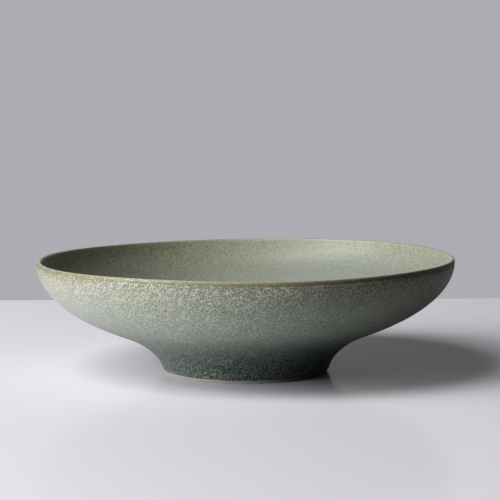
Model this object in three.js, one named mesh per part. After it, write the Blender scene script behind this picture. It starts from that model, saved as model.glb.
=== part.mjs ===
import * as THREE from "three";

// A shallow stoneware bowl on a turned foot, built up as it is made: a thrown bowl with a flat base, a thrown foot
// ring luted under it with slip, and three coats of glaze that stop short of the foot's bare clay edge.
// Millimetres, +Z up, with the origin on the table at the middle of the foot.

// The thrown bowl's outside. It leaves its flat base at the foot joint, turns from hollow to full, and rises to the rim.
const rimRadius = 149.5; // bare clay, at the widest circle
const rimHeight = 79.9; // of the widest circle above the table
const turnRadius = 96; // where the hollow curve over the foot becomes the full curve of the wall
const turnHeight = 31.4;
const turnSlope = 21.5; // degrees above level
const wallStartReach = 0.15; // how far each end's direction carries into the wall's curve
const wallEndReach = 0.39;

// The thrown bowl's inside
const wallThickness = 5.2; // at the turn
const lipThickness = 2.6; // at the rim
const lateThinning = 2; // 1 thins the wall evenly up to the rim, and more leaves it for the end
const baseThickness = 7.5; // of clay at the middle of the floor
const floorReach = 0.36;

// The foot ring
const footHeight = 15; // from the table to the bowl's flat base
const footRadius = 58.6; // outside, at the table
const footSlope = 72;
const footLand = 8; // width of the ring that stands on the table
const footEdge = 0.8; // the land's eased edges
const wellTaper = 1.4; // how much narrower the well is at its top
const jointRadius = 66.5; // outside of the joint between the foot and the bowl
const jointSlope = 45.5;
const footReach = 0.36;
const slipThickness = 0.6;

// The glaze
const outerGlaze = 0.5;
const innerGlaze = 0.5;
const wellGlaze = 0.4;
const bareFoot = 1.8; // height of bare clay at the table, outside
const bareWell = 2.5; // and inside the well
const glazeJoin = 1.2; // how far below the widest circle the two coats meet
const leastStep = 0.08; // stations nearer in height than this are one

// How finely the curves are cut
const turnSteps = 60;
const footSteps = 4;
const underSteps = 4;
const wallSteps = 8;
const lipSteps = 4;
const floorSteps = 5;

const clay = new THREE.MeshStandardMaterial({ color: 0xb8aa9b, roughness: 0.9, metalness: 0 });
const slip = new THREE.MeshStandardMaterial({ color: 0x9a8c7e, roughness: 0.95, metalness: 0 });
const greenGlaze = new THREE.MeshStandardMaterial({ color: 0x77877a, roughness: 0.5, metalness: 0 });
const paleGlaze = new THREE.MeshStandardMaterial({ color: 0xadb19c, roughness: 0.45, metalness: 0 });
const darkGlaze = new THREE.MeshStandardMaterial({ color: 0x566459, roughness: 0.5, metalness: 0 });

const radians = THREE.MathUtils.degToRad;
const at = (radius, height) => new THREE.Vector2(radius, height);
const heading = (slope) => at(Math.cos(radians(slope)), Math.sin(radians(slope)));

// A curve between two points that leaves and arrives at the given slopes; a reach is a share of the straight distance.
function sweep(start, startSlope, end, endSlope, startReach, endReach) {
  const span = start.distanceTo(end);
  const leave = heading(startSlope).multiplyScalar(startReach * span);
  const arrive = heading(endSlope).multiplyScalar(endReach * span);
  return new THREE.CubicBezierCurve(start, start.clone().add(leave), end.clone().sub(arrive), end);
}

// Stations along a curve: each holds a point of the clay and the direction in which glaze builds up on it.
function stations(curve, steps) {
  return Array.from({ length: steps + 1 }, (_, step) => {
    const along = curve.getTangent(step / steps);
    return { point: curve.getPoint(step / steps), out: at(along.y, -along.x) };
  });
}

const raised = (station, height) => station.point.clone().addScaledVector(station.out, height);
const points = (list) => list.map((station) => station.point);

// The outside, from the table up to the rim
const footTop = footHeight - slipThickness;
const baseRadius = jointRadius + slipThickness / Math.tan(radians(jointSlope));
const footBottom = at(footRadius, footEdge);
const turn = at(turnRadius, turnHeight);
const footCurve = sweep(footBottom, footSlope, at(jointRadius, footTop), jointSlope, footReach, footReach);
const underCurve = sweep(at(baseRadius, footHeight), jointSlope, turn, turnSlope, footReach, footReach);
const wallCurve = sweep(turn, turnSlope, at(rimRadius, rimHeight), 90, wallStartReach, wallEndReach);
const footSide = stations(footCurve, footSteps);
const underSide = stations(underCurve, underSteps);
const wallSide = stations(wallCurve, wallSteps);

// The lip is half a circle, and the inside wall keeps a thickness that thins towards it.
const lipRadius = lipThickness / 2;
const lipCentre = at(rimRadius - lipRadius, rimHeight);
const lipSide = Array.from({ length: lipSteps - 1 }, (_, step) => {
  const turned = ((step + 1) / lipSteps) * Math.PI;
  const out = at(Math.cos(turned), Math.sin(turned));
  return { point: lipCentre.clone().addScaledVector(out, lipRadius), out };
});
const insideWall = wallSide
  .map((station, step) => {
    const thickness = THREE.MathUtils.lerp(wallThickness, lipThickness, (step / wallSteps) ** lateThinning);
    return { point: raised(station, -thickness), out: station.out.clone().negate() };
  })
  .reverse();
const floorStart = insideWall.at(-1).point;
const floorMiddle = at(0, footHeight + baseThickness);
const floorCurve = sweep(floorStart, turnSlope + 180, floorMiddle, 180, floorReach, floorReach);
const floorSide = stations(floorCurve, floorSteps).slice(1);
floorSide.at(-1).point.copy(floorMiddle);
floorSide.at(-1).out.set(0, 1);

// The well inside the foot ring, from the table up to the bowl's base
const wellFoot = footRadius - footLand;
const wellTop = wellFoot - wellTaper;
const wellAt = (height) => THREE.MathUtils.mapLinear(height, footEdge, footTop, wellFoot, wellTop);
const inward = at(-1, 0);
const wellSide = [
  { point: at(wellAt(bareWell), bareWell), out: inward },
  { point: at(wellTop, footTop), out: inward },
];
const wellCorner = { point: at(wellTop, footHeight), out: at(-1, -1) };
const wellCeiling = { point: at(0, footHeight), out: at(0, -1) };

// Cuts a rising side at a height: its stations below, one exactly there, and its stations above.
function cutAt(height, curve, side) {
  let low = 0;
  let high = 1;
  for (let halving = 0; halving < 40; halving++) {
    const middle = (low + high) / 2;
    if (curve.getPoint(middle).y < height) low = middle;
    else high = middle;
  }
  const along = curve.getTangent(low);
  return {
    below: side.filter((station) => station.point.y < height - leastStep),
    edge: { point: at(curve.getPoint(low).x, height), out: at(along.y, -along.x) },
    above: side.filter((station) => station.point.y > height + leastStep),
  };
}

// Revolves a closed outline about the upright axis. Every four-sided facet is split from its lower edge, whichever way
// the outline runs, so that two pieces that touch share the same facets.
function revolved(name, outline, material) {
  const closed = [...outline, outline[0]];
  const geometry = new THREE.LatheGeometry(closed, turnSteps);
  const index = [];
  for (let step = 0; step < turnSteps; step++) {
    for (let k = 0; k + 1 < closed.length; k++) {
      const a = step * closed.length + k;
      const b = a + closed.length;
      const rises = closed[k + 1].y > closed[k].y || (closed[k + 1].y === closed[k].y && closed[k + 1].x > closed[k].x);
      const facets = rises ? [[a, b, a + 1], [b + 1, a + 1, b]] : [[a, b, b + 1], [a, b + 1, a + 1]];
      const onAxis = (vertex) => closed[vertex % closed.length].x === 0;
      index.push(...facets.filter((facet) => facet.filter(onAxis).length < 2).flat());
    }
  }
  geometry.setIndex(index);
  const mesh = new THREE.Mesh(geometry, material);
  mesh.name = name;
  return mesh;
}

// A coat of glaze on a run of stations: its face stands off the clay by the thickness, and its back is the clay's face.
function coat(name, run, thickness, material) {
  const face = run.map((station) => raised(station, thickness));
  return revolved(name, [...face, ...points(run).reverse()], material);
}

const footGlazed = cutAt(bareFoot, footCurve, footSide);
const wallJoin = cutAt(rimHeight - glazeJoin, wallCurve, wallSide);
const insideWhole = [...lipSide, ...insideWall, ...floorSide];

const bowlOutline = [
  wellCeiling.point,
  ...points(underSide),
  ...points([...wallJoin.below.slice(1), wallJoin.edge, ...wallJoin.above]),
  ...points(insideWhole),
];
const footOutline = [
  at(wellFoot + footEdge, 0),
  at(footRadius - footEdge, 0),
  ...points([...footGlazed.below, footGlazed.edge, ...footGlazed.above]),
  wellSide[1].point,
  wellSide[0].point,
  at(wellFoot, footEdge),
];
const slipOutline = [
  wellSide[1].point,
  footSide.at(-1).point,
  underSide[0].point,
  wellCorner.point,
];
const outerRun = [footGlazed.edge, ...footGlazed.above, ...underSide, ...wallJoin.below.slice(1), wallJoin.edge];
const innerRun = [wallJoin.edge, ...wallJoin.above, ...insideWhole];
const wellRun = [wellCeiling, wellCorner, ...wellSide.slice().reverse()];

const bowl = new THREE.Group();
bowl.rotation.x = Math.PI / 2; // a lathe turns about Y, and the bowl stands along Z
bowl.add(
  revolved("bowl_wall", bowlOutline, clay),
  revolved("foot_ring", footOutline, clay),
  revolved("luting_slip", slipOutline, slip),
  coat("outer_glaze", outerRun, outerGlaze, greenGlaze),
  coat("inner_glaze", innerRun, innerGlaze, paleGlaze),
  coat("foot_well_glaze", wellRun, wellGlaze, darkGlaze),
);

export default bowl;
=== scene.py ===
import bpy
import numpy as np
from mathutils import Matrix, Vector


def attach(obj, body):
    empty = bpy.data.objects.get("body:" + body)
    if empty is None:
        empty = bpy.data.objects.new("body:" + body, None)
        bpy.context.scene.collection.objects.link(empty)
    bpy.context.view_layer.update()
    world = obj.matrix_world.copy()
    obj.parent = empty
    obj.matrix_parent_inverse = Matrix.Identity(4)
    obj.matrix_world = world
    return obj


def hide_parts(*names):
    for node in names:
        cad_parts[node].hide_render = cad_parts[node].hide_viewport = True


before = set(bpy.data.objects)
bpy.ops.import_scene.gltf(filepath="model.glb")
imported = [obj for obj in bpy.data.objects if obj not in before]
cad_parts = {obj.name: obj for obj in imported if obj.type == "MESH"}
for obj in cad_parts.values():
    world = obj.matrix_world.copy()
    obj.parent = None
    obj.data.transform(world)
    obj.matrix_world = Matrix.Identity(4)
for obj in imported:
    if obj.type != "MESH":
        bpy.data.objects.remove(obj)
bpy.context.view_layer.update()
print("frame loaded:", ", ".join(sorted(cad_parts)))


# Camera: the photograph's place and lens, for an image of 500 x 500 pixels

camera = {
    "distance": 1.389,  # metres from the bowl's axis
    "height": 0.2308,  # metres above the table
    "pitch": 5.89,  # degrees below level
    "yaw": 0.13,  # degrees to the right
    "roll": -0.19,
    "focalPixels": 1939.0,  # the lens's focal length in pixels of the image
    "imagePixels": 500.0,
    "sensor": 36.0,  # millimetres
}


def makeCamera():
    pitch, yaw, roll = np.radians([camera["pitch"], camera["yaw"], camera["roll"]])
    forward = Vector((np.sin(yaw) * np.cos(pitch), np.cos(yaw) * np.cos(pitch), -np.sin(pitch)))
    level = Vector((np.cos(yaw), -np.sin(yaw), 0))
    up = level.cross(forward)
    right = level * np.cos(roll) + up * np.sin(roll)
    up = right.cross(forward)
    data = bpy.data.cameras.new("camera")
    data.sensor_width = camera["sensor"]
    data.lens = camera["focalPixels"] / camera["imagePixels"] * camera["sensor"]
    view = bpy.data.objects.new("camera", data)
    view.matrix_world = Matrix((
        (right.x, up.x, -forward.x, 0),
        (right.y, up.y, -forward.y, -camera["distance"]),
        (right.z, up.z, -forward.z, camera["height"]),
        (0, 0, 0, 1),
    ))
    bpy.context.scene.collection.objects.link(view)
    bpy.context.scene.camera = view


makeCamera()
print("camera set")


# Outlines. An outline is an array of (radius, height) points in metres, with the clay on its left.

thrown = {
    "rimRadius": 0.1495,  # metres, of the bare clay at its widest circle
    "rimHeight": 0.0799,
    "turnRadius": 0.096,  # where the hollow over the foot becomes the full curve of the wall
    "turnHeight": 0.0314,
    "turnSlope": 21.5,  # degrees above level
    "wallReach": (0.15, 0.39),  # how far the direction at each end carries, as a share of the span
    "wallThickness": 0.0052,  # at the turn
    "lipThickness": 0.0026,
    "lateThinning": 2,  # 1 thins the wall evenly up to the rim, and more leaves it for the end
    "baseThickness": 0.0075,
    "floorReach": 0.36,
    "footHeight": 0.015,  # from the table to the bowl's flat base
    "footRadius": 0.0586,
    "footSlope": 72.0,
    "footLand": 0.008,  # width of the ring that stands on the table
    "footEdge": 0.0008,  # radius of the land's eased edges
    "wellTaper": 0.0014,  # how much narrower the well is at its top
    "jointRadius": 0.0665,  # outside of the joint between the foot and the bowl
    "jointSlope": 45.5,
    "footReach": 0.36,
    "slipThickness": 0.0006,
}
outlinePoints = {"foot": 60, "under": 80, "wall": 200, "lip": 40, "floor": 160}
samePoint = 1e-6  # metres: points nearer than this are one


def unit(slope):
    return np.array([np.cos(np.radians(slope)), np.sin(np.radians(slope))])


def sweep(start, startSlope, end, endSlope, reaches, count):
    # A cubic curve through two points: (1-t)^3 a + 3(1-t)^2 t b + 3(1-t) t^2 c + t^3 d, where b and c lie
    # along the slopes at the two ends, at a share of the straight distance
    a, d = np.array(start, float), np.array(end, float)
    span = np.linalg.norm(d - a)
    b = a + unit(startSlope) * reaches[0] * span
    c = d - unit(endSlope) * reaches[1] * span
    t = np.linspace(0, 1, count)[:, None]
    return (1 - t) ** 3 * a + 3 * (1 - t) ** 2 * t * b + 3 * (1 - t) * t**2 * c + t**3 * d


def arc(centre, radius, fromSlope, toSlope, count):
    # Part of a circle: centre + radius (cos a, sin a)
    angle = np.radians(np.linspace(fromSlope, toSlope, count))
    return np.array(centre) + radius * np.stack([np.cos(angle), np.sin(angle)], 1)


def outward(outline):
    # Unit normals on the outline's right: the tangent (r', z') turned to (z', -r')
    along = np.gradient(outline, axis=0)
    along /= np.maximum(np.linalg.norm(along, axis=1, keepdims=True), 1e-12)  # never divides by nothing
    return np.stack([along[:, 1], -along[:, 0]], 1)


def lengthAlong(outline):
    # The running sum of the distances from point to point
    return np.concatenate([[0], np.cumsum(np.linalg.norm(np.diff(outline, axis=0), axis=1))])


def joined(*outlines):
    # End to end, with each shared point kept once
    points = np.concatenate(outlines)
    apart = np.linalg.norm(np.diff(points, axis=0), axis=1) > samePoint
    return points[np.concatenate([[True], apart])]


footTop = thrown["footHeight"] - thrown["slipThickness"]
baseRadius = thrown["jointRadius"] + thrown["slipThickness"] / np.tan(np.radians(thrown["jointSlope"]))
turn = (thrown["turnRadius"], thrown["turnHeight"])
lipRadius = thrown["lipThickness"] / 2
wellFoot = thrown["footRadius"] - thrown["footLand"]
wellTop = wellFoot - thrown["wellTaper"]

footSide = sweep(
    (thrown["footRadius"], thrown["footEdge"]), thrown["footSlope"],
    (thrown["jointRadius"], footTop), thrown["jointSlope"],
    (thrown["footReach"],) * 2, outlinePoints["foot"],
)
underSide = sweep(
    (baseRadius, thrown["footHeight"]), thrown["jointSlope"], turn, thrown["turnSlope"],
    (thrown["footReach"],) * 2, outlinePoints["under"],
)
wallSide = sweep(
    turn, thrown["turnSlope"], (thrown["rimRadius"], thrown["rimHeight"]), 90,
    thrown["wallReach"], outlinePoints["wall"],
)
lipCentre = (thrown["rimRadius"] - lipRadius, thrown["rimHeight"])
lipSide = arc(lipCentre, lipRadius, 0, 180, outlinePoints["lip"])
thinning = np.linspace(0, 1, len(wallSide))[:, None] ** thrown["lateThinning"]
wallDepth = thrown["wallThickness"] + (thrown["lipThickness"] - thrown["wallThickness"]) * thinning
insideSide = (wallSide - outward(wallSide) * wallDepth)[::-1]
floorSide = sweep(
    insideSide[-1], thrown["turnSlope"] + 180, (0, thrown["footHeight"] + thrown["baseThickness"]), 180,
    (thrown["floorReach"],) * 2, outlinePoints["floor"],
)

# The whole outside and inside in one line, from the foot's eased edge over the lip to the floor's middle
skin = joined(footSide, underSide, wallSide, lipSide, insideSide, floorSide)
skinOut = outward(skin)
skinOut[-1] = (0, 1)  # straight up on the axis
skinLength = lengthAlong(skin)
crest = skinLength[np.argmax(skin[:, 1])]  # the lip's highest point, along the line
underStart = skinLength[np.argmin(np.linalg.norm(skin - underSide[0], axis=1))]
print("outlines ready: %.0f mm from foot to lip" % (crest * 1000))


# Surfaces. A piece is a stack of rings, each with the same number of points round the axis.

fired = {
    "lean": 0.0058,  # rise per metre towards +X, because the foot was trimmed a little out of true
    "trueBelow": (0.002, 0.016),  # metres above the table, between which the lean comes in
    "rise": 0.0006,  # metres that the rim gained as it dried
    "nod": 0.00024,  # and how much more of it at the front
    "pinch": 0.00023,  # the rim's saddle shape: higher at the two sides, lower at front and back
    "twist": 0.00055,  # and turned by an eighth of a turn
    # The rim's waves: how many there are round it, and metres of cosine and of sine
    "wander": ((3, -0.00011, 0.00013), (4, -0.00011, -0.00015), (5, -0.00017, 0.00009)),
    "steadyRadius": 0.07,  # the clay over the foot keeps its shape
}


def settled(points):
    # The fired bowl's small faults. Height grows by s lean x, where s goes smoothly from 0 at the table to 1
    # above the foot. It also grows by w (rise - nod sin a + pinch cos 2a + twist sin 2a + the sum of
    # c cos ka + d sin ka), where w is the cube of the share of the way from the foot to the rim.
    x, y, z = np.moveaxis(points, -1, 0)
    radius, angle = np.hypot(x, y), np.arctan2(y, x)
    low, high = fired["trueBelow"]
    share = np.clip((z - low) / (high - low), 0, 1)
    steady = fired["steadyRadius"]
    weight = np.clip((radius - steady) / (thrown["rimRadius"] - steady), 0, 1) ** 3
    saddle = fired["pinch"] * np.cos(2 * angle) + fired["twist"] * np.sin(2 * angle)
    saddle += sum(c * np.cos(k * angle) + d * np.sin(k * angle) for k, c, d in fired["wander"])
    moved = points.copy()
    moved[..., 2] += share * share * (3 - 2 * share) * fired["lean"] * x
    moved[..., 2] += weight * (fired["rise"] - fired["nod"] * np.sin(angle) + saddle)
    return moved


def angles(count):
    return np.arange(count) / count * 2 * np.pi


def rings(radius, height, angle):
    # Rows of (radius cos a, radius sin a, height); radius and height may vary along a row
    radius, height, angle = np.broadcast_arrays(radius, height, angle)
    return np.stack([radius * np.cos(angle), radius * np.sin(angle), height], -1)


def ringMesh(name, grid, fromLip=None):
    # Four-sided faces between neighbouring rings, and from the last ring to the first. A ring on the axis is
    # one point, and the faces that meet there have three sides.
    rows, columns = grid.shape[:2]
    index = np.arange(rows * columns).reshape(rows, columns)
    onAxis = np.hypot(grid[..., 0], grid[..., 1]).max(axis=1) < samePoint
    index[onAxis] = index[onAxis, :1]
    solid = ~(onAxis & np.roll(onAxis, -1))
    below, above = index[solid], np.roll(index, -1, axis=0)[solid]
    corners = np.stack([below, np.roll(below, -1, 1), np.roll(above, -1, 1), above], -1).reshape(-1, 4)
    used, corners = np.unique(corners, return_inverse=True)
    corners = corners.reshape(-1, 4)
    startsAtPoint, endsAtPoint = corners[:, 0] == corners[:, 1], corners[:, 2] == corners[:, 3]
    foursided = corners[~(startsAtPoint | endsAtPoint)].tolist()
    threesided = corners[startsAtPoint, 1:].tolist() + corners[endsAtPoint, :3].tolist()
    mesh = bpy.data.meshes.new(name)
    mesh.from_pydata(settled(grid).reshape(-1, 3)[used].tolist(), [], foursided + threesided)
    mesh.polygons.foreach_set("use_smooth", np.ones(len(mesh.polygons), bool))
    if fromLip is not None:
        values = np.broadcast_to(fromLip, (rows, columns)).reshape(-1)[used].astype(np.float32)
        mesh.attributes.new("fromLip", "FLOAT", "POINT").data.foreach_set("value", values)
    mesh.update()
    piece = bpy.data.objects.new(name, mesh)
    bpy.context.scene.collection.objects.link(piece)
    return piece


def onSkin(length, lift):
    # A point of the skin at a length along it, lifted along its normal: p(s) + lift n(s)
    radius, height = (np.interp(length, skinLength, skin[:, k]) for k in (0, 1))
    outR, outZ = (np.interp(length, skinLength, skinOut[:, k]) for k in (0, 1))
    return np.maximum(radius + lift * outR, 0), height + lift * outZ


def ripple(angle, seed, waves):
    # A smooth closed wander round the axis: the mean of sin(k a + phase) over a few whole numbers k
    phases = np.random.default_rng(seed).uniform(0, 2 * np.pi, len(waves))
    return sum(np.sin(k * angle + p) for k, p in zip(waves, phases)) / len(waves)


lipThinning = {
    "share": 0.45,  # of its thickness that the glaze loses on the lip's crest
    "reach": 0.0035,  # metres each way from the crest
}


def thinned(thickness, fromLip):
    # thickness (1 - share exp(-(d / reach)^2))
    return thickness * (1 - lipThinning["share"] * np.exp(-(fromLip / lipThinning["reach"]) ** 2))


# Outer glaze: a matt green coat that stops in a soft, slightly wavy roll just above the foot

outerCoat = {
    "thickness": 0.0005,
    "bareHeight": 0.0017,  # metres of bare clay along the foot's side
    "waver": 0.0004,  # how far the glaze line wanders up and down
    "waverSeed": 4,
    "waverWaves": (2, 3, 5, 9, 14, 23),  # numbers of waves round the foot
    "rollLength": 0.0016,
    "roll": 0.00022,  # extra thickness in the roll at its edge
    "fullWithin": 1 / 3,  # of the roll's length, over which the coat gains its thickness
    "joinBelow": 0.0036,  # metres below the lip's crest where the inner glaze takes over
    "rows": 150,
    "rowCrowding": 1.35,  # above 1 the rows are closer at the foot
    "backRows": 18,
    "columns": 480,
}


def makeOuterCoat():
    # The face is lifted off the clay by thickness sqrt(p / f), up to p = f, and by roll p exp(1 - p), where p
    # is the distance from the wavy edge in lengths of the roll and f is fullWithin. The back lies on the
    # clay.
    look = outerCoat
    angle = angles(look["columns"])
    start = look["bareHeight"] + look["waver"] * ripple(angle, look["waverSeed"], look["waverWaves"])
    end = crest - look["joinBelow"]
    share = np.linspace(0, 1, look["rows"])[:, None] ** look["rowCrowding"]
    length = start + (end - start) * share
    past = (length - start) / look["rollLength"]
    gained = np.sqrt(np.clip(past / look["fullWithin"], 0, 1))
    lift = thinned(look["thickness"], crest - length) * gained + look["roll"] * past * np.exp(1 - past)
    backLength = end + (start - end) * np.linspace(0, 1, look["backRows"])[:-1, None]
    face = rings(*onSkin(length, lift), angle)
    back = rings(*onSkin(backLength, 0), angle)
    fromLip = crest - np.concatenate([length, backLength])
    return ringMesh("outerGlaze", np.concatenate([face, back]), fromLip)


# Inner glaze: paler, over the lip and down to the middle of the floor

innerCoat = {
    "thickness": 0.0005,
    "rows": 150,
    "rowCrowding": 1.5,  # above 1 the face's rows are closer at the lip
    "backRows": 30,
    "backCrowding": 0.8,  # below 1 the back's rows are closer there too
    "columns": 480,
}


def makeInnerCoat():
    # The face is lifted off the clay by the thickness, thinned at the lip, and the back lies on the clay
    look = innerCoat
    angle = angles(look["columns"])
    start, end = crest - outerCoat["joinBelow"], skinLength[-1]
    length = start + (end - start) * np.linspace(0, 1, look["rows"])[:, None] ** look["rowCrowding"]
    backLength = end + (start - end) * np.linspace(0, 1, look["backRows"])[:, None] ** look["backCrowding"]
    face = rings(*onSkin(length, thinned(look["thickness"], crest - length)), angle)
    back = rings(*onSkin(backLength, 0), angle)
    fromLip = crest - np.concatenate([length, backLength])
    return ringMesh("innerGlaze", np.concatenate([face, back]), fromLip)


# Well glaze: it pools in the corner between the foot ring and the bowl's flat base

wellCoat = {
    "thickness": 0.0004,
    "bareHeight": 0.0026,  # metres of bare clay above the table
    "waver": 0.0006,
    "waverSeed": 9,
    "waverWaves": (2, 3, 4, 7, 11),
    "poolRadius": 0.0022,
    "basePoints": 30,
    "sidePoints": 14,
    "columns": 360,
}


def makeWellCoat():
    # Out along the base, round the pool and down the foot ring's side, where height is p + (e - p) d: p is
    # the pool's lower end, e the wavy edge, and d goes from 0 to 1 down the side. The back lies on the clay.
    look = wellCoat
    angle = angles(look["columns"])
    lift, pool, ceiling = look["thickness"], look["poolRadius"], thrown["footHeight"]
    edgeHeight = look["bareHeight"] + look["waver"] * ripple(angle, look["waverSeed"], look["waverWaves"])
    edgeRadius = np.interp(look["bareHeight"], (thrown["footEdge"], footTop), (wellFoot, wellTop))
    poolX, poolZ = wellTop - lift - pool, ceiling - lift - pool
    base = np.linspace((0, ceiling - lift), (poolX, ceiling - lift), look["basePoints"])
    corner = arc((poolX, poolZ), pool, 90, 0, look["sidePoints"])
    side = np.linspace((wellTop - lift, poolZ), (edgeRadius - lift, 0), look["sidePoints"])
    outline = joined(base, corner, side)
    radius, height = outline[:, :1], outline[:, 1:]
    down = np.clip(1 - height / poolZ, 0, 1)
    face = rings(radius, np.where(down > 0, poolZ + (edgeHeight - poolZ) * down, height), angle)
    edge = rings(edgeRadius, edgeHeight[None, :], angle)
    backLine = np.array([[wellTop, footTop], [wellTop, ceiling], [0, ceiling]])
    back = rings(backLine[:, :1], backLine[:, 1:], angle)
    return ringMesh("footWellGlaze", np.concatenate([face, edge, back]))


# Foot ring: bare clay where it stands, with softly turned edges

footRing = {
    "wander": 0.00012,  # metres: hand-finished edges aren't quite even
    "wanderHeight": 0.003,  # metres above the table by which that fades
    "wanderSeed": 21,
    "wanderWaves": (3, 5, 8, 13, 21, 34),
    "edgePoints": 8,
    "topPoints": 8,
    "landPoints": 12,
    "wellPoints": 12,
    "columns": 360,
}


def makeFootRing():
    # The ring's outline carried round the axis. Near the table it is moved out and in by
    # wander ripple(a) exp(-(z / h)^2), and the face that it stands on stays flat.
    look = footRing
    edge = thrown["footEdge"]
    inner, outer = wellFoot + edge, thrown["footRadius"] - edge
    land = np.linspace((inner, 0), (outer, 0), look["landPoints"])
    outerEdge = arc((outer, edge), edge, -90, 0, look["edgePoints"])
    top = np.linspace((thrown["jointRadius"], footTop), (wellTop, footTop), look["topPoints"])
    well = np.linspace((wellTop, footTop), (wellFoot, edge), look["wellPoints"])
    innerEdge = arc((inner, edge), edge, 180, 270, look["edgePoints"])
    outline = joined(land, outerEdge, footSide, top, well, innerEdge)[:-1]
    radius, height = outline[:, :1], outline[:, 1:]
    angle = angles(look["columns"])
    low = np.exp(-(height / look["wanderHeight"]) ** 2) * (height > 0)
    wander = look["wander"] * ripple(angle, look["wanderSeed"], look["wanderWaves"]) * low
    side = np.sign(outward(outline)[:, :1])  # 1 on the outside and -1 in the well
    return ringMesh("footRing", rings(radius + wander * side, height, angle))


# Bowl wall: the clay under the coats

bowlWall = {
    "rows": 140,
    "columns": 240,
    "baseRing": 0.5,  # a ring across the flat base, as a share of its radius
}


def makeBowlWall():
    # The flat base, and then the skin from the joint over the lip to the middle of the floor
    angle = angles(bowlWall["columns"])
    length = np.linspace(underStart, skinLength[-1], bowlWall["rows"])[:, None]
    baseRadii = np.array([[0], [baseRadius * bowlWall["baseRing"]]])
    base = rings(baseRadii, thrown["footHeight"], angle)
    side = rings(*onSkin(length, 0), angle)
    return ringMesh("bowlWall", np.concatenate([base, side]))


outerGlaze = makeOuterCoat()
innerGlaze = makeInnerCoat()
footWellGlaze = makeWellCoat()
footClay = makeFootRing()
wallClay = makeBowlWall()
pieces = (outerGlaze, innerGlaze, footWellGlaze, footClay, wallClay)
print("pieces made:", sum(len(piece.data.polygons) for piece in pieces), "faces")


# Materials, all in the bowl's own metres. These small functions each add a node and give back its result.

def newMaterial(name):
    material = bpy.data.materials.new(name)
    material.use_nodes = True
    return material, material.node_tree, material.node_tree.nodes["Principled BSDF"]


def isSocket(source):
    return isinstance(source, bpy.types.NodeSocket)


def feed(tree, socket, source):
    # The source is another node's result or a fixed value
    if isSocket(source):
        tree.links.new(source, socket)
    else:
        socket.default_value = source


def math(tree, operation, *sources):
    node = tree.nodes.new("ShaderNodeMath")
    node.operation = operation
    for socket, source in zip(node.inputs, sources):
        feed(tree, socket, source)
    return node.outputs[0]


def objectPlace(tree):
    return tree.nodes.new("ShaderNodeTexCoord").outputs["Object"]


def axes(tree, place):
    node = tree.nodes.new("ShaderNodeSeparateXYZ")
    tree.links.new(place, node.inputs[0])
    return node.outputs["X"], node.outputs["Y"]


def noise(tree, place, size, detail=2.0, roughness=0.5, output="Fac"):
    # Size is the width of a blotch in metres
    node = tree.nodes.new("ShaderNodeTexNoise")
    tree.links.new(place, node.inputs["Vector"])
    node.inputs["Scale"].default_value = 1 / size
    node.inputs["Detail"].default_value = detail
    node.inputs["Roughness"].default_value = roughness
    return node.outputs[output]


def cells(tree, place, size):
    # The distance from the middle of the nearest cell, as a share of the size, and that cell's own colour
    node = tree.nodes.new("ShaderNodeTexVoronoi")
    tree.links.new(place, node.inputs["Vector"])
    node.inputs["Scale"].default_value = 1 / size
    return node.outputs["Distance"], node.outputs["Color"]


def spread(tree, source, low, high, newLow=0.0, newHigh=1.0, smooth=False):
    # The stretch from low to high becomes newLow to newHigh, and what lies past its ends stays there
    node = tree.nodes.new("ShaderNodeMapRange")
    node.interpolation_type = "SMOOTHSTEP" if smooth else "LINEAR"
    names = ("Value", "From Min", "From Max", "To Min", "To Max")
    for name, part in zip(names, (source, low, high, newLow, newHigh)):
        feed(tree, node.inputs[name], part)
    return node.outputs["Result"]


def band(tree, source, window):
    # 0 up to the window's first number, 1 between its second and third, and 0 past its fourth
    start, full, fading, end = window
    return math(tree, "MULTIPLY", spread(tree, source, start, full), spread(tree, source, end, fading))


def ramp(tree, source, stops):
    # Stops are (place from 0 to 1, colour or grey value)
    node = tree.nodes.new("ShaderNodeValToRGB")
    tree.links.new(source, node.inputs["Fac"])
    elements = node.color_ramp.elements
    while len(elements) < len(stops):
        elements.new(1.0)
    for element, (place, colour) in zip(elements, stops):
        element.position = place
        element.color = (*colour, 1) if isinstance(colour, tuple) else (colour, colour, colour, 1)
    return node.outputs["Color"]


def blend(tree, share, first, second, mode="MIX"):
    node = tree.nodes.new("ShaderNodeMix")
    node.data_type, node.blend_type, node.clamp_factor = "RGBA", mode, True
    feed(tree, node.inputs["Factor"], share)
    for socket, source in zip(node.inputs[6:8], (first, second)):  # the node's two colour sockets
        feed(tree, socket, source if isSocket(source) else (*source, 1))
    return node.outputs[2]  # and its colour result


def bump(tree, height, distance):
    node = tree.nodes.new("ShaderNodeBump")
    node.inputs["Strength"].default_value = 1.0
    node.inputs["Distance"].default_value = distance
    tree.links.new(height, node.inputs["Height"])
    return node.outputs["Normal"]


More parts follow.
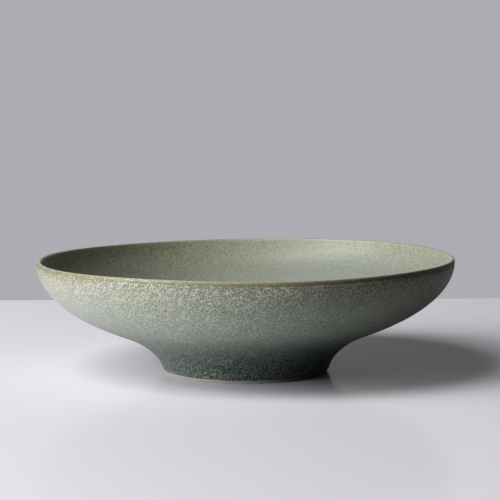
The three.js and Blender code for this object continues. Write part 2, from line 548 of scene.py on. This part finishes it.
# The glaze from the middle of the floor, over the lip, to the foot. Each row has millimetres from the lip's
# crest, down the outside, or down the inside where negative; the glaze's ground; its flecks; and the shares
# of places that hold a large fleck, a middling one, a fine one and a dark speck.
glazeByDepth = (
    (-175, (0.250, 0.290, 0.245), (0.350, 0.385, 0.335), 0.0, 0.15, 0.45, 0.1),
    (-60, (0.254, 0.289, 0.244), (0.370, 0.400, 0.350), 0.0, 0.2, 0.5, 0.15),
    (-25, (0.215, 0.236, 0.190), (0.320, 0.332, 0.280), 0.0, 0.3, 0.5, 0.3),
    (-9, (0.245, 0.256, 0.196), (0.380, 0.390, 0.312), 0.0, 0.45, 0.5, 0.5),
    (-3, (0.262, 0.253, 0.184), (0.460, 0.450, 0.355), 0.0, 0.5, 0.5, 0.4),
    (-1, (0.325, 0.318, 0.235), (0.440, 0.430, 0.330), 0.0, 0.3, 0.4, 0.1),
    (0, (0.450, 0.450, 0.340), (0.540, 0.535, 0.425), 0.0, 0.3, 0.4, 0.0),
    (0.5, (0.345, 0.340, 0.232), (0.480, 0.475, 0.352), 0.0, 0.1, 0.3, 0.0),
    (1.2, (0.193, 0.184, 0.112), (0.400, 0.388, 0.275), 0.0, 0.12, 0.25, 0.05),
    (2.6, (0.172, 0.167, 0.108), (0.360, 0.351, 0.258), 0.05, 0.15, 0.3, 0.1),
    (3.8, (0.154, 0.159, 0.111), (0.402, 0.396, 0.304), 0.3, 0.35, 0.4, 0.15),
    (6, (0.190, 0.203, 0.150), (0.558, 0.555, 0.437), 0.6, 0.5, 0.45, 0.15),
    (11, (0.233, 0.256, 0.197), (0.608, 0.612, 0.501), 0.45, 0.6, 0.55, 0.2),
    (18, (0.273, 0.307, 0.247), (0.652, 0.677, 0.569), 0.1, 0.65, 0.6, 0.25),
    (30, (0.320, 0.364, 0.309), (0.745, 0.790, 0.681), 0.05, 0.6, 0.7, 0.3),
    (55, (0.292, 0.327, 0.287), (0.727, 0.786, 0.691), 0.0, 0.35, 0.7, 0.3),
    (72, (0.195, 0.225, 0.199), (0.597, 0.664, 0.583), 0.0, 0.22, 0.7, 0.3),
    (90, (0.109, 0.135, 0.119), (0.695, 0.808, 0.705), 0.0, 0.12, 0.7, 0.25),
    (112, (0.038, 0.061, 0.054), (0.506, 0.605, 0.523), 0.0, 0.1, 0.64, 0.2),
    (130, (0.025, 0.042, 0.037), (0.396, 0.474, 0.408), 0.0, 0.1, 0.56, 0.2),
)

glaze = {
    "large": (0.0017, 0.42),  # metres from fleck to fleck, and a fleck's radius as a share of that
    "middling": (0.00112, 0.44),
    "fine": (0.00076, 0.46),
    "fleckEdge": 0.05,  # softness, as a share of the same distance
    "comingIn": 0.04,  # how far a fleck's number is under its chance when it shows in full
    "fineStrength": 0.8,
    "speckColour": (0.035, 0.042, 0.028),
    "speckStrength": 0.55,
    "ragged": 0.0001,  # metres that the flecks' edges wander
    "cloud": (0.013, 3.0, 0.55),  # where flecks crowd and thin out: width in metres, detail, roughness
    "crowding": 0.3,  # how much the share of larger flecks rises and falls with that
    # Metres by which the zones rise and fall round the bowl, near the lip and below; how wide those waves
    # are; and the metres from the crest between which they come in
    "unevenDepth": (0.0017, 0.0045),
    "unevenWidth": (0.006, 0.03),
    "unevenFade": ((0.0003, 0.0022), (0.003, 0.014)),
    "tintWidth": 0.009,  # metres, of the patches that turn a little to teal or to buff
    "tintStops": ((0.38, (0.965, 1.005, 0.995)), (0.62, (1.03, 1.0, 0.98))),
    "calmShare": 0.45,  # of the fleck's colour, in what calm glaze draws towards
    "bowlReach": 0.15,  # metres along X, each way, that the shares across the bowl run over
    "lipBand": (-0.0006, 0.0002, 0.0028, 0.0048),  # metres from the crest, of the brown edge outside
    # the brown edge's tone across the bowl: creamier at the left, partly its own colour, and darker to the
    # right as painted shade away from the lamps
    "lipAcross": (
        (0.06, (1.36, 1.4, 1.5)), (0.18, (1.22, 1.27, 1.37)), (0.42, (1.06, 1.06, 1.05)),
        (0.62, (0.69, 0.7, 0.63)), (0.8, (0.5, 0.52, 0.45)),
    ),
    "crestBand": (-0.0024, -0.0006, 0.001, 0.003),  # and of the worn line on the crest
    "crestAcross": ((0.0, 0.66), (0.08, 0.78), (0.25, 0.99), (0.4, 1.0), (0.85, 0.97), (0.95, 0.74)),
    "crestBack": (0.13, 0.21, 0.66),  # from and to, in metres of Y - X, and the crest's tone past that
    "relief": 0.00006,
    "roughness": 0.42,
    "specular": 0.4,
}

# How the two coats change across the bowl, at shares of the way from left to right: their tint, and how far
# the flecks and their ground draw together. On the outside the tint also darkens the right side, away from
# the
# lamps: painted shade. A dark speck is given as a fleck is.
outerAcross = {
    # the last stops darken the right side, away from the lamps: painted shade
    "tint": (
        (0.1, (1.07, 1.035, 1.09)), (0.3, (1.0, 0.985, 1.02)), (0.5, (0.995, 1.0, 1.02)),
        (0.66, (0.99, 1.035, 1.045)), (0.8, (0.97, 0.985, 0.99)), (0.92, (0.82, 0.84, 0.84)),
    ),
    "calm": ((0.05, 0.42), (0.3, 0.12), (0.5, 0.0), (0.6, 0.12), (0.75, 0.2)),
    "speck": (0.00125, 0.34),
}
innerAcross = {
    "tint": (
        (0.1, (1.03, 0.97, 0.89)), (0.3, (1.03, 1.01, 0.965)), (0.55, (1.01, 1.0, 0.985)),
        (0.75, (0.94, 0.95, 0.985)), (0.9, (0.91, 0.915, 0.94)),
    ),
    "calm": ((0.25, 0.0), (0.5, 0.35), (0.62, 0.5), (0.9, 0.3)),
    "speck": (0.0019, 0.36),
}
wellDepth = 0.115  # metres from the lip: the well's glaze looks all over as the outside does there


def unevenDepth(tree, place, look):
    # fromLip + a (2 n - 1) + b (2 m - 1), where n and m are a narrow and a wide noise, and both fade out on
    # the lip
    attribute = tree.nodes.new("ShaderNodeAttribute")
    attribute.attribute_name = "fromLip"
    depth = attribute.outputs["Fac"]
    away = math(tree, "ABSOLUTE", depth)
    for width, reach, fade in zip(look["unevenWidth"], look["unevenDepth"], look["unevenFade"]):
        shift = math(tree, "MULTIPLY_ADD", noise(tree, place, width), 2 * reach, -reach)
        depth = math(tree, "MULTIPLY_ADD", shift, spread(tree, away, *fade), depth)
    return depth


def zones(tree, depth):
    # Each column of glazeByDepth, read at this depth
    first, last = glazeByDepth[0][0], glazeByDepth[-1][0]
    along = spread(tree, depth, first / 1000, last / 1000)
    places = [(row[0] - first) / (last - first) for row in glazeByDepth]
    return [ramp(tree, along, list(zip(places, column))) for column in list(zip(*glazeByDepth))[1:]]


def raggedPlace(tree, place, look):
    # place + 2 ragged n, where n is a noise of three parts
    node = tree.nodes.new("ShaderNodeVectorMath")
    node.operation = "MULTIPLY_ADD"
    tree.links.new(noise(tree, place, look["middling"][0], output="Color"), node.inputs[0])
    node.inputs[1].default_value = (2 * look["ragged"],) * 3
    tree.links.new(place, node.inputs[2])
    return node.outputs[0]


def flecks(tree, place, look, layer, chance):
    # One round fleck about each cell's middle, shown where the cell's own random number is under the chance
    size, radius = layer
    edge, soft = look["fleckEdge"], look["comingIn"]
    distance, colour = cells(tree, place, size)
    own = tree.nodes.new("ShaderNodeSeparateColor")
    tree.links.new(colour, own.inputs["Color"])
    shown = spread(tree, math(tree, "SUBTRACT", chance, own.outputs["Red"]), -soft, soft)
    near = spread(tree, distance, radius + edge, radius - edge, smooth=True)
    return math(tree, "MULTIPLY", near, shown)


def fleckCover(tree, place, ragged, look, chances):
    # The greatest of three layers of flecks, of which the larger two crowd and thin out together
    large, middling, fine = chances
    clouds = noise(tree, place, *look["cloud"])
    lumpy = math(tree, "MULTIPLY_ADD", clouds, 2 * look["crowding"], -look["crowding"])
    cover = flecks(tree, ragged, look, look["large"], math(tree, "ADD", large, lumpy))
    middle = flecks(tree, ragged, look, look["middling"], math(tree, "ADD", middling, lumpy))
    small = math(tree, "MULTIPLY", flecks(tree, ragged, look, look["fine"], fine), look["fineStrength"])
    return math(tree, "MAXIMUM", math(tree, "MAXIMUM", cover, middle), small)


def lipTones(tree, colour, depth, place, side, look):
    # The brown edge and the crest, each times its tone across the bowl. The edge is paler and creamier at the
    # left and darker towards the right, partly its own colour and partly painted shade on the side away from
    # the lamps. The crest is darker at the back left.
    edgeTone = ramp(tree, side, look["lipAcross"])
    colour = blend(tree, band(tree, depth, look["lipBand"]), colour, edgeTone, "MULTIPLY")
    x, y = axes(tree, place)
    start, end, dark = look["crestBack"]
    backLeft = spread(tree, math(tree, "SUBTRACT", y, x), start, end, 1.0, dark)
    crestTone = math(tree, "MULTIPLY", ramp(tree, side, look["crestAcross"]), backLeft)
    return blend(tree, band(tree, depth, look["crestBand"]), colour, crestTone, "MULTIPLY")


def glazeMaterial(name, look, across, depth=None):
    # The ground under flecks and specks, tinted in patches, calmed and tinted across the bowl, and toned at
    # the lip. Across the outside the tint falls to a painted shade on the right, away from the lamps. The
    # depth is fromLip with its zones made uneven, or one depth for all of the piece.
    material, tree, shader = newMaterial(name)
    place = objectPlace(tree)
    if depth is None:
        depth = unevenDepth(tree, place, look)
    ground, fleck, *chances, speckChance = zones(tree, depth)
    ragged = raggedPlace(tree, place, look)
    cover = fleckCover(tree, place, ragged, look, chances)
    colour = blend(tree, cover, ground, fleck)
    specks = flecks(tree, ragged, look, across["speck"], speckChance)
    specks = math(tree, "MULTIPLY", specks, look["speckStrength"])
    colour = blend(tree, specks, colour, look["speckColour"])
    patches = ramp(tree, noise(tree, place, look["tintWidth"]), look["tintStops"])
    colour = blend(tree, 1.0, colour, patches, "MULTIPLY")
    side = spread(tree, axes(tree, place)[0], -look["bowlReach"], look["bowlReach"])
    calm = blend(tree, look["calmShare"], ground, fleck)
    colour = blend(tree, ramp(tree, side, across["calm"]), colour, calm)
    # times the tint across the bowl, which on the outside darkens the right side as painted shade
    colour = blend(tree, 1.0, colour, ramp(tree, side, across["tint"]), "MULTIPLY")
    colour = lipTones(tree, colour, depth, place, side, look)
    tree.links.new(colour, shader.inputs["Base Color"])
    shader.inputs["Roughness"].default_value = look["roughness"]
    shader.inputs["Specular IOR Level"].default_value = look["specular"]
    tree.links.new(bump(tree, cover, look["relief"]), shader.inputs["Normal"])
    return material


bareClay = {
    "light": (0.56, 0.51, 0.46),
    "dark": (0.39, 0.345, 0.30),
    "grain": (0.0006, 4.0, 0.65),  # width in metres, detail, roughness
    "grainTurn": (0.3, 0.7),  # the grain's values from dark to light
    "grog": 0.0018,  # metres from one coarse brown grain to the next
    "grogEdge": (0.10, 0.22),  # from its middle, as shares of that
    "grogColour": (0.24, 0.18, 0.13),
    "relief": 0.00008,
    "roughness": 0.9,
    "specular": 0.25,
}
firedSlip = {**bareClay, "light": (0.34, 0.30, 0.25), "dark": (0.24, 0.20, 0.16)}


def clayMaterial(name, look):
    # Fine grain from dark to light, with coarse brown grains of grog over it
    material, tree, shader = newMaterial(name)
    place = objectPlace(tree)
    grain = noise(tree, place, *look["grain"])
    colour = blend(tree, spread(tree, grain, *look["grainTurn"]), look["dark"], look["light"])
    offGrog = spread(tree, cells(tree, place, look["grog"])[0], *look["grogEdge"])
    colour = blend(tree, offGrog, look["grogColour"], colour)
    tree.links.new(colour, shader.inputs["Base Color"])
    shader.inputs["Roughness"].default_value = look["roughness"]
    shader.inputs["Specular IOR Level"].default_value = look["specular"]
    tree.links.new(bump(tree, grain, look["relief"]), shader.inputs["Normal"])
    return material


def dress(piece, material, node):
    piece.data.materials.append(material)
    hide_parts(node)
    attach(piece, "root")


clay = clayMaterial("bareStoneware", bareClay)
dress(outerGlaze, glazeMaterial("greenGlaze", glaze, outerAcross), "outer_glaze")
dress(innerGlaze, glazeMaterial("paleGlaze", glaze, innerAcross), "inner_glaze")
wellGlaze = glazeMaterial("wellGlaze", glaze, outerAcross, wellDepth)
dress(footWellGlaze, wellGlaze, "foot_well_glaze")
dress(footClay, clay, "foot_ring")
dress(wallClay, clay, "bowl_wall")
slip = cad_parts["luting_slip"]
slip.data.materials.clear()
slip.data.materials.append(clayMaterial("joiningSlip", firedSlip))
print("materials on")


# Floor and light

studio = {
    "floorColour": (0.748, 0.72, 0.777),  # as the camera sees it
    "floorBounce": (0.575, 0.185),  # its grey for the light thrown back on the bowl, left and right
    "bounceReach": (-0.05, 0.06),  # metres along X between which that changes
    "floorRoughness": 0.7,
    "floorSheen": 0.0,  # of the paint itself
    "floorGloss": 0.17,  # of a clear coat, in which the foot is mirrored
    "floorBlur": 0.14,  # and how rough that coat is
    "floorReach": 3.0,  # metres to the left, to the right and towards the camera
    "floorBack": (0.396, 0.406),  # metres behind the bowl's axis where the table ends, left and right
    "backdrop": (0.41, 0.42, 0.45),
    "glossShare": 0.4,  # how much of the floor's colour and the backdrop a glossy surface shows
    "lampAim": 0.04,  # metres above the table that the lamps face
}

# Each lamp is a round soft light: degrees round from the camera (right is positive), degrees up, metres away,
# metres across, watts
lamps = {
    "windowLow": (-60, 10, 2.8, 1.4, 31.0),
    "windowSide": (-75, 28, 2.8, 1.4, 37.0),
    "windowFront": (-58, 30, 2.8, 1.4, 28.0),
    "windowHigh": (-48, 52, 2.8, 1.4, 39.0),
    "wallGlow": (179, 10, 2.8, 1.9, 8.5),
}


def seenShare(tree):
    # 1 for what the camera sees, glossShare for what a glossy surface shows, and 0 for the light thrown back
    rays = tree.nodes.new("ShaderNodeLightPath").outputs
    return math(tree, "MULTIPLY_ADD", rays["Is Glossy Ray"], studio["glossShare"], rays["Is Camera Ray"])


def makeFloor():
    reach = studio["floorReach"]
    backLeft, backRight = studio["floorBack"]
    corners = [(-reach, -reach, 0), (reach, -reach, 0), (reach, backRight, 0), (-reach, backLeft, 0)]
    mesh = bpy.data.meshes.new("floor")
    mesh.from_pydata(corners, [], [(0, 1, 2, 3)])
    floor = bpy.data.objects.new("floor", mesh)
    bpy.context.scene.collection.objects.link(floor)
    material, tree, shader = newMaterial("paleFloor")
    x = axes(tree, objectPlace(tree))[0]
    bounce = spread(tree, x, *studio["bounceReach"], *studio["floorBounce"])
    tree.links.new(blend(tree, seenShare(tree), bounce, studio["floorColour"]), shader.inputs["Base Color"])
    shader.inputs["Roughness"].default_value = studio["floorRoughness"]
    shader.inputs["Specular IOR Level"].default_value = studio["floorSheen"]
    shader.inputs["Coat Weight"].default_value = studio["floorGloss"]
    shader.inputs["Coat Roughness"].default_value = studio["floorBlur"]
    mesh.materials.append(material)


def makeLamps():
    for name, (around, above, distance, across, power) in lamps.items():
        around, above = np.radians([around, above])
        level = np.cos(above)
        direction = Vector((np.sin(around) * level, -np.cos(around) * level, np.sin(above)))
        data = bpy.data.lights.new(name, "AREA")
        data.shape, data.size, data.energy = "DISK", across, power
        lamp = bpy.data.objects.new(name, data)
        lamp.visible_camera = False
        lamp.location = direction * distance + Vector((0, 0, studio["lampAim"]))
        lamp.rotation_euler = direction.to_track_quat("Z", "Y").to_euler()
        bpy.context.scene.collection.objects.link(lamp)


def makeWorld():
    world = bpy.data.worlds.new("studio")
    world.use_nodes = True
    bpy.context.scene.world = world
    tree = world.node_tree
    background = tree.nodes["Background"]
    backdrop = blend(tree, seenShare(tree), (0.0, 0.0, 0.0), studio["backdrop"])
    tree.links.new(backdrop, background.inputs["Color"])
    background.inputs["Strength"].default_value = 1.0


makeFloor()
makeLamps()
makeWorld()
bpy.context.scene.view_settings.view_transform = "Standard"
print("studio lit")
